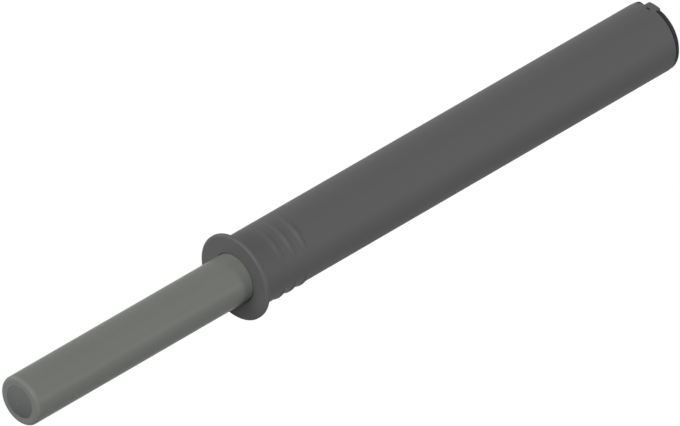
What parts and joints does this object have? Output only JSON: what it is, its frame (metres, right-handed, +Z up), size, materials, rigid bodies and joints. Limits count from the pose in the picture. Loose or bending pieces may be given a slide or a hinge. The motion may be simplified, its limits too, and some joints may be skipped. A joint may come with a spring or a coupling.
{
  "type": "touch latch",
  "caption": "Drill-in touch latch: a flanged tubular housing with shallow grip ridges and a long sprung plunger with a soft bumper in its tip.",
  "frame": {"origin": "on the axis, at the back face of the flange that seats on the cabinet", "axes": "+X along the axis into the drilled hole, the plunger points to -X, +Z up through a rear tab"},
  "size_m": [0.1144, 0.012, 0.012],
  "materials": {
    "housing_plastic": "satin moulded, dust grey",
    "plunger_plastic": "satin moulded, mid grey",
    "bumper_rubber": "smooth soft plastic",
    "cap_plastic": "satin moulded, black",
    "inner_plastic": "natural acetal",
    "carriage_plastic": "satin moulded, light grey",
    "spring_wire": "drawn spring wire"
  },
  "bodies": {
    "housing": {"housing": "housing_plastic", "end_cap": "cap_plastic", "latch_rod": "inner_plastic", "spring": "spring_wire"},
    "carriage": {"carriage": "carriage_plastic", "ring_retainer": "carriage_plastic"},
    "latch_ring": {"latch_ring": "inner_plastic"},
    "plunger": {"plunger": "plunger_plastic", "tip_bumper": "bumper_rubber"}
  },
  "joints": [
    {"name": "plunger_slide", "type": "slide", "parent": "housing", "child": "carriage", "axis": [1, 0, 0], "range_m": [0, 0.036], "stiffness_N_per_m": 150, "springref_m": -0.027, "deforming": ["spring"]},
    {"name": "gap_adjust", "type": "slide", "parent": "carriage", "child": "plunger", "axis": [-1, 0, 0], "range_m": [-0.001, 0.004]},
    {"name": "ring_turn", "type": "hinge", "parent": "carriage", "child": "latch_ring", "pos_m": [0.01645, 0, 0], "axis": [1, 0, 0], "continuous": true}
  ]
}
